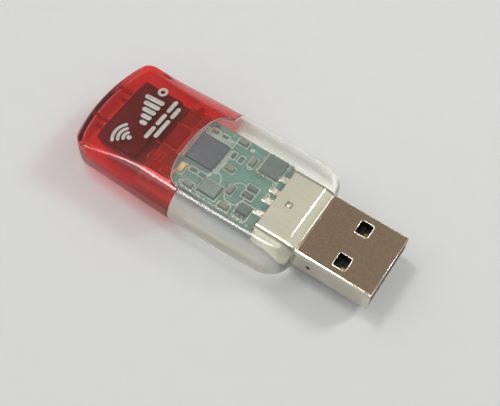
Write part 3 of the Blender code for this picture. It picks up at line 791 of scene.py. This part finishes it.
def makeBoardGlintLines():
    # pale raised outlines round what stands on the board, rows of pad outlines beside the radio chip in
    # two frames, round outlines, and two drop-shaped ones. Their pale colour is a painted highlight,
    # standing in for the glints along raised lines over the board
    shape, lines = outlineShape, []
    lie, thickness = onBoard(shape["lift"]), shape["thickness"]

    def draw(path):
        lines.append(flatStroke(path, shape["line"], lie, thickness, loop=True, around=6))

    def drawBox(lowX, lowY, highX, highY, corner):
        draw(boxPath((lowX, lowY), (highX, highY), corner))

    for name in frame["nodes"]:
        low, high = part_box(name)
        small = max(high.x - low.x, high.y - low.y) < shape["smallerThan"]
        if small and 0 < low.z - boardHigh.z < 0.2 * mm:
            reach = shape["clearance"]
            drawBox(low.x - reach, low.y - reach, high.x + reach, high.y + reach, shape["corner"])
    low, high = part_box("radio_chip")
    half, frontHalf, corner = shape["padHalf"], shape["frontPadHalf"], shape["padCorner"]
    near, far = shape["padSpan"]
    frontNear, frontFar = shape["frontPadSpan"]
    for step in np.linspace(0, 1, shape["padCount"]):
        y = low.y + shape["padInset"] + step * (high.y - low.y - 2 * shape["padInset"])
        x = low.x + shape["padInset"] + step * (high.x - low.x - 2 * shape["padInset"])
        drawBox(low.x - far, y - half, low.x - near, y + half, corner)
        drawBox(x - half, high.y + near, x + half, high.y + far, corner)
        drawBox(high.x + frontNear, y - frontHalf, high.x + frontFar, y + frontHalf, corner)
    for x, y in shape["vias"]:
        draw(ringPath((x * mm, y * mm), shape["viaRadius"], 18))
    rim, over = 0.25 * mm, 0.2 * mm
    drawBox(low.x - far - rim, low.y - rim, low.x - over, high.y + rim, shape["frameCorner"])
    drawBox(low.x - rim, high.y + over, high.x + rim, high.y + far + rim, shape["frameCorner"])
    for (x, y), size in shape["drops"]:
        draw(dropPath(x, y, size))
    addPiece("boardGlintLines", lines, outlineGlint)


trackShape = dict(
    halfWidth=0.08 * mm, lift=0.004 * mm, thickness=0.02 * mm,
    padRadius=0.13 * mm, padLine=0.05 * mm, padLift=0.012 * mm, padThickness=0.03 * mm,
    # each bundle in mm: its first track's corners, the step to the next track, and how many there are
    bundles=(
        (((-4.0, 2.6), (-2.6, 2.6), (-1.2, 4.0), (1.4, 4.0)), (0.0, -0.36), 5),
        (((-4.0, 0.2), (-1.4, 0.2), (0.4, 1.2), (3.0, 1.2), (5.2, 1.0)), (0.0, -0.4), 4),
        (((-4.0, -1.4), (-2.2, -1.4), (0.2, -3.6), (2.4, -3.6)), (0.0, -0.42), 3),
        (((-9.0, -4.9), (-6.6, -4.9), (-5.4, -5.6), (-0.6, -5.6), (5.0, -5.6)), (0.0, 0.34), 2),
        (((-5.0, 6.0), (-1.8, 6.0), (-1.0, 5.4), (1.2, 5.4)), (0.0, -0.3), 2),
    ),
)


def bentPath(corners, steps=3):
    # straight runs between corners, with a few points on each so that a stroke keeps its width
    corners = np.array(corners, float) * mm
    along = np.linspace(0, 1, steps, endpoint=False)[:, None]
    runs = [a + (b - a) * along for a, b in zip(corners, corners[1:])]
    return np.concatenate(runs + [corners[-1:]])


def makeTracks():
    # tracks in bundles between the chips and the plug, with a round pad at each end
    shape, tracks, pads = trackShape, [], []
    lie, thickness = onBoard(shape["lift"]), shape["thickness"]
    padLie, padThickness = onBoard(shape["padLift"]), shape["padThickness"]
    for corners, step, count in shape["bundles"]:
        for number in range(count):
            path = bentPath(np.array(corners) + number * np.array(step))
            tracks.append(flatStroke(path, shape["halfWidth"], lie, thickness, around=6))
            for end in (path[0], path[-1]):
                ring = ringPath(end, shape["padRadius"], 12)
                pads.append(flatStroke(ring, shape["padLine"], padLie, padThickness, loop=True, around=6))
    addPiece("boardTracks", tracks, trackGreen)
    addPiece("trackPads", pads, brightPlate)


solderShape = dict(
    # the row of pads along the board's near edge
    edgePads=16, edgeStart=-7.6 * mm, edgeStep=0.86 * mm, edgeLength=0.42 * mm, edgeInset=0.24 * mm,
    edgeHalfWidth=0.09 * mm,
    # the memory chip's leads, on each side
    leads=4, leadReach=0.42 * mm, leadUnder=0.02 * mm, leadHalfWidth=0.13 * mm,
    # four dots, in mm
    dotsX=(2.95, 4.25), dotsY=(-6.05, -5.75), dotRadius=0.1 * mm,
    # the solder on each contact's foot
    footBehind=0.3 * mm, footAhead=0.45 * mm, footHalfWidth=0.5 * mm,
)


def makeSolder():
    # bright pads along the board's near edge, leads beside the memory chip, dots, and solder on the
    # contacts' feet. Each is a flat stroke, whose heights are (lift, thickness).
    shape, pads = solderShape, []
    flat, raised, onFoot = (0.02 * mm, 0.06 * mm), (0.05 * mm, 0.1 * mm), (0.06 * mm, 0.1 * mm)

    def addPad(path, halfWidth, heights, roundEnds, around):
        lift, thickness = heights
        pads.append(flatStroke(path, halfWidth, onBoard(lift), thickness, roundEnds, around=around))

    y = boardLow.y + shape["edgeInset"]
    for step in range(shape["edgePads"]):
        x = shape["edgeStart"] + step * shape["edgeStep"]
        addPad(np.linspace((x, y), (x + shape["edgeLength"], y), 4), shape["edgeHalfWidth"], flat, 0.6, 8)
    low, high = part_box("memory_chip")
    under, reach = shape["leadUnder"], shape["leadReach"]
    for step in range(shape["leads"]):
        x = low.x + (step + 0.5) * (high.x - low.x) / shape["leads"]
        for start, end in ((low.y - reach, low.y + under), (high.y - under, high.y + reach)):
            addPad(np.linspace((x, start), (x, end), 4), shape["leadHalfWidth"], raised, 0.5, 8)
    for x in shape["dotsX"]:
        for y in shape["dotsY"]:
            dot = [(x * mm, y * mm), (x * mm + 0.02 * mm, y * mm)]
            addPad(dot, shape["dotRadius"], (0.02 * mm, 0.04 * mm), 1.0, 10)
    for name in frame["nodes"]:
        if name.startswith("contact_"):
            low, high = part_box(name)
            y = (low.y + high.y) / 2
            foot = np.linspace((low.x - shape["footBehind"], y), (low.x + shape["footAhead"], y), 6)
            addPad(foot, shape["footHalfWidth"], onFoot, 0.5, 10)
    addPiece("solderJoints", pads, brightPlate)


makeBoardGlintLines()
makeTracks()
makeSolder()
print("board details made")

rimShape = dict(
    fromTip=5.16 * mm, length=2.2 * mm, width=2.5 * mm, offset=3.25 * mm, corner=0.3 * mm,
    bead=0.07 * mm, thickness=0.14 * mm,
)


def makeWindowRims():
    # the rolled edge of each window in the plug's shell, above and below
    shape, rims = rimShape, []
    far = shellHigh.x - shape["fromTip"]
    for side in (1, -1):
        for level in (shellHigh.z, shellLow.z):
            y, half = side * shape["offset"], shape["width"] / 2
            path = boxPath((far - shape["length"], y - half), (far, y + half), shape["corner"], 6)
            rims.append(flatStroke(path, shape["bead"], atLevel(level), shape["thickness"], loop=True))
    addPiece("windowRims", rims, brightPlate)


foldShape = dict(
    inset=0.22 * mm, fromFace=0.25 * mm, fromTip=0.16 * mm, corner=0.2 * mm, halfWidth=0.05 * mm,
    thickness=0.08 * mm,
)


def makeFoldLines():
    # the bright worn edge round the top and the underside of the shell, where its sheet folds over.
    # Each line lies on the arc of the shell's corner.
    shape, lines = foldShape, []
    low = (form["faceX"] + shape["fromFace"], shellLow.y + shape["inset"])
    high = (shellHigh.x - shape["fromTip"], shellHigh.y - shape["inset"])
    path = boxPath(low, high, shape["corner"], 6)

    def cornerDrop(y):
        over = np.clip(np.abs(y) - (shellHigh.y - plugCorner), 0, plugCorner)
        return plugCorner - np.sqrt(plugCorner**2 - over**2)

    for lie in (lambda x, y: shellHigh.z - cornerDrop(y), lambda x, y: shellLow.z + cornerDrop(y)):
        lines.append(flatStroke(path, shape["halfWidth"], lie, shape["thickness"], loop=True, around=8))
    addPiece("foldLines", lines, brightPlate)


tabShape = dict(fromFace=4.6 * mm, half=0.42 * mm, depth=0.28 * mm, edge=0.13 * mm, squareness=3.0)


def makeLanceTab():
    # the small sprung tab in the shell's lance, behind the plug's exit
    shape, half = tabShape, tabShape["half"]
    x = form["faceX"] - shape["fromFace"]
    low, high = (x - half, -half, shellHigh.z - shape["depth"]), (x + half, half, shellHigh.z)
    tab = roundBlock(low, high, shape["edge"], shape["squareness"])
    addPiece("lanceTab", [tab], brightPlate)


makeWindowRims()
makeFoldLines()
makeLanceTab()
print("plug details made")

studio = dict(
    floorSize=1.6, floorColour=(0.752, 0.762, 0.755),
    cameraPlace=(34.249 * mm, -55.516 * mm, 113.766 * mm),
    cameraTarget=(2.57 * mm, -0.60 * mm, 1.6 * mm),
    cameraRoll=math.radians(4.31), lens=58.9, sensorWidth=36.0,
    skyColour=(0.535, 0.55, 0.56),
    warmColour=(0.29, 0.225, 0.17), warmWay=(-0.10, 0.45, 0.885),
    warmSpan=(0.72, 0.93),  # the cosine to warmWay at which the sky starts to turn warm, and is warm
)


def makeFloor():
    half = studio["floorSize"] / 2
    mesh = bpy.data.meshes.new("floor")
    corners = [(-half, -half, 0), (half, -half, 0), (half, half, 0), (-half, half, 0)]
    mesh.from_pydata(corners, [], [(0, 1, 2, 3)])
    material, shader = newMaterial("floorPaper", {"Roughness": 0.6, "Specular IOR Level": 0.2})
    low = studio["floorColour"]
    high = tuple(v * 1.01 for v in low)
    grain = objectNoise(material, 300)
    feedSockets(material, shader, {"Base Color": blendColours(material, grain, low, high)})
    mesh.materials.append(material)
    floor = bpy.data.objects.new("floor", mesh)
    bpy.context.scene.collection.objects.link(floor)


def addAreaLight(name, place, size, radiance, fills=True, mirrored=True):
    # an oval lamp aimed at the object, of size (along X, across) with this brightness. A lamp either
    # fills the room with light, is mirrored in polished surfaces, or both.
    lamp = bpy.data.lights.new(name, "AREA")
    lamp.shape = "ELLIPSE"
    lamp.size, lamp.size_y = size
    lamp.energy = radiance * math.pi**2 / 4 * size[0] * size[1]
    light = bpy.data.objects.new(name, lamp)
    back = Vector(place).normalized()
    along = (Vector((1, 0, 0)) - back * back.x).normalized()
    turned = Matrix((along, back.cross(along), back)).transposed()
    light.matrix_world = Matrix.Translation(Vector(place)) @ turned.to_4x4()
    light.visible_glossy = mirrored
    light.visible_transmission = mirrored
    light.visible_diffuse = fills
    bpy.context.scene.collection.objects.link(light)


def makeLamps():
    # two lamps whose soft shadows fall to the near left and past the plug's tip, a weak one from the
    # near left, and two that show only as glints on the housing's front and along its crease
    addAreaLight("farRightLamp", (0.26, 0.34, 0.33), (0.12, 0.12), 26.0, mirrored=False)
    addAreaLight("steepLeftLamp", (-0.19, 0.05, 0.42), (0.10, 0.10), 17.0, mirrored=False)
    addAreaLight("leftLamp", (-0.25, -0.15, 0.35), (0.25, 0.25), 1.0)
    addAreaLight("glintLamp", (0.14, 0.24, 0.45), (0.06, 0.055), 40.0, fills=False)
    addAreaLight("creaseLamp", (-0.14, -0.04, 0.45), (0.26, 0.16), 13.0, fills=False)


def makeCamera():
    lens = bpy.data.cameras.new("camera")
    lens.lens = studio["lens"]
    lens.sensor_width = studio["sensorWidth"]
    lens.clip_start = 1 * mm
    place = Vector(studio["cameraPlace"])
    look = (Vector(studio["cameraTarget"]) - place).to_track_quat("-Z", "Y").to_matrix()
    turned = look @ Matrix.Rotation(studio["cameraRoll"], 3, "Z")
    camera = bpy.data.objects.new("camera", lens)
    camera.matrix_world = Matrix.Translation(place) @ turned.to_4x4()
    bpy.context.scene.collection.objects.link(camera)
    bpy.context.scene.camera = camera


def makeSky():
    # an even pale room, with a warm dark ceiling patch where the flat metal looks
    world = bpy.data.worlds.new("room")
    bpy.context.scene.world = world
    world.use_nodes = True
    way = world.node_tree.nodes.new("ShaderNodeTexCoord").outputs["Generated"]
    towards = world.node_tree.nodes.new("ShaderNodeVectorMath")
    towards.operation = "DOT_PRODUCT"
    towards.inputs[1].default_value = studio["warmWay"]
    world.node_tree.links.new(way, towards.inputs[0])
    colour = blendColours(
        world, towards.outputs["Value"], studio["skyColour"], studio["warmColour"], *studio["warmSpan"]
    )
    world.node_tree.links.new(colour, world.node_tree.nodes["Background"].inputs["Color"])


makeFloor()
makeSky()
makeLamps()
makeCamera()
bpy.context.scene.view_settings.view_transform = "Standard"
print("floor, light and camera made")
